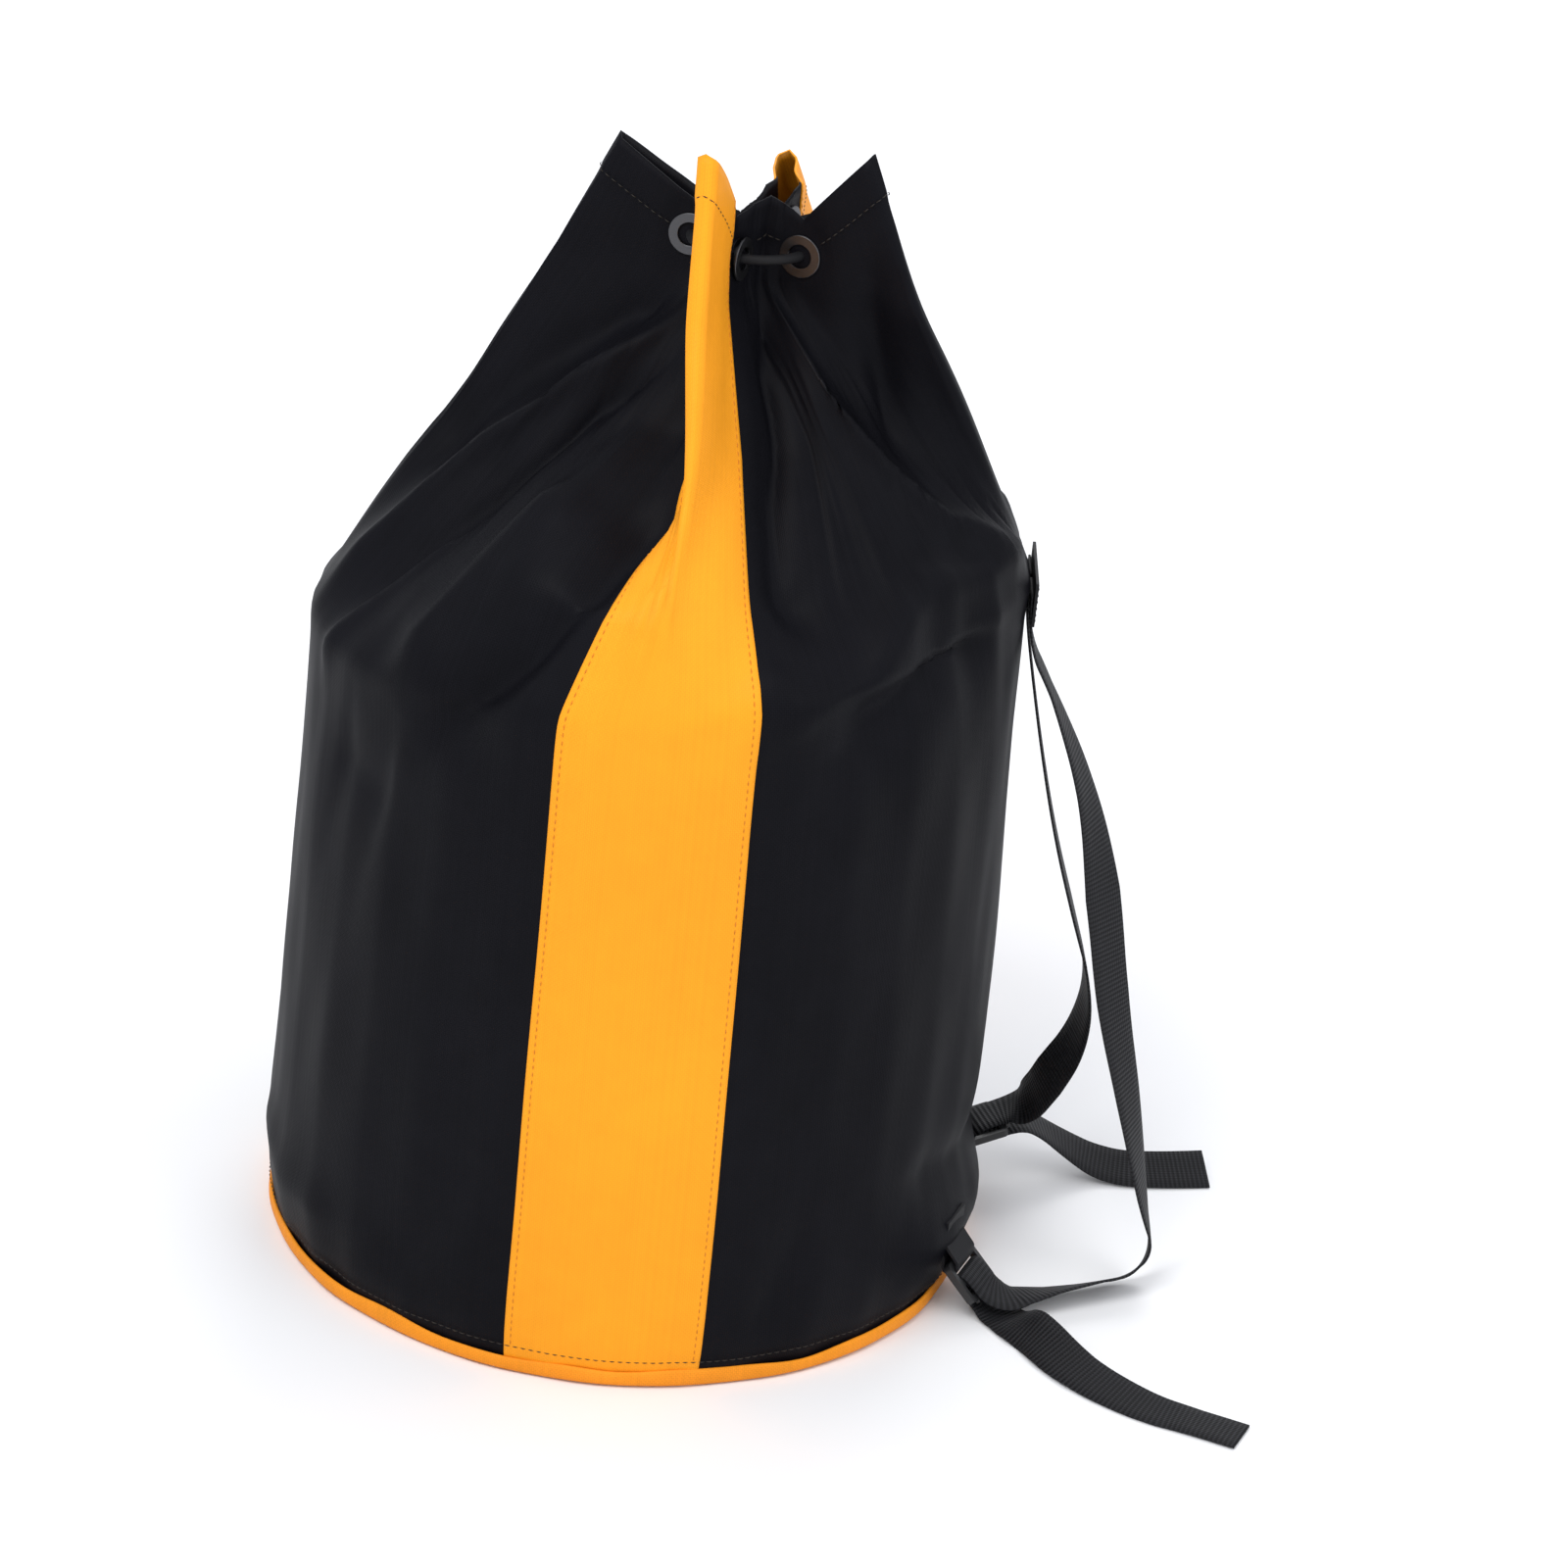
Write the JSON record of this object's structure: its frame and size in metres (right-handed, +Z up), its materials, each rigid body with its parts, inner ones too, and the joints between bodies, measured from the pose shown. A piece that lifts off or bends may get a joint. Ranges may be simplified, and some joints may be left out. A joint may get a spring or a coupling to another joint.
{
  "type": "rope storage bag",
  "caption": "Round-bottomed drawstring cloth bag for rope, gathered at the neck, with contrasting stripes, two webbing shoulder straps and a cord lock.",
  "frame": {"origin": "centre of the underside of the round base, on the floor", "axes": "+Z up; +X towards the shoulder straps; -Y towards the front stripe"},
  "size_m": [0.5284, 0.3879, 0.6171],
  "materials": {
    "black_cloth": "coated plain-weave polyester, dull sheen",
    "yellow_cloth": "coated plain-weave polyester, yellow-orange",
    "yellow_base_cloth": "heavier coated cloth, yellow-orange",
    "eyelet_metal": "dark nickel-plated brass",
    "drawcord": "braided polyester cord",
    "black_webbing": "ribbed polypropylene webbing",
    "black_plastic": "moulded acetal",
    "spring_steel": "drawn spring wire"
  },
  "bodies": {
    "bag": {"base_binding": "yellow_base_cloth", "base_loop_far": "black_webbing", "base_loop_near": "black_webbing", "base_panel": "yellow_base_cloth", "cord_knot_1": "drawcord", "cord_knot_2": "drawcord", "drawcord_ring": "drawcord", "drawcord_tail_1": "drawcord", "drawcord_tail_2": "drawcord", "eyelet_1": "eyelet_metal", "eyelet_2": "eyelet_metal", "eyelet_3": "eyelet_metal", "eyelet_4": "eyelet_metal", "eyelet_5": "eyelet_metal", "eyelet_6": "eyelet_metal", "eyelet_7": "eyelet_metal", "eyelet_8": "eyelet_metal", "eyelet_washer_1": "eyelet_metal", "eyelet_washer_2": "eyelet_metal", "eyelet_washer_3": "eyelet_metal", "eyelet_washer_4": "eyelet_metal", "eyelet_washer_5": "eyelet_metal", "eyelet_washer_6": "eyelet_metal", "eyelet_washer_7": "eyelet_metal", "eyelet_washer_8": "eyelet_metal", "ladder_lock_far": "black_plastic", "ladder_lock_near": "black_plastic", "shoulder_strap_far": "black_webbing", "shoulder_strap_near": "black_webbing", "side_panel_left": "black_cloth", "side_panel_right": "black_cloth", "strap_patch": "black_webbing", "stripe_front": "yellow_cloth", "stripe_rear": "yellow_cloth"},
    "cord_lock": {"cord_lock_body": "black_plastic", "cord_lock_spring": "spring_steel"},
    "lock_button": {"cord_lock_plunger": "black_plastic"}
  },
  "joints": [
    {"name": "cord_lock_slide", "type": "slide", "parent": "bag", "child": "cord_lock", "axis": [-0.5557, 0.4418, -0.7043], "range_m": [-0.008, 0.03]},
    {"name": "lock_button_press", "type": "slide", "parent": "cord_lock", "child": "lock_button", "axis": [-0.6224, -0.7827, 0], "range_m": [0, 0.004], "stiffness_N_per_m": 900, "springref_m": -0.002, "deforming": ["cord_lock_spring"]}
  ]
}
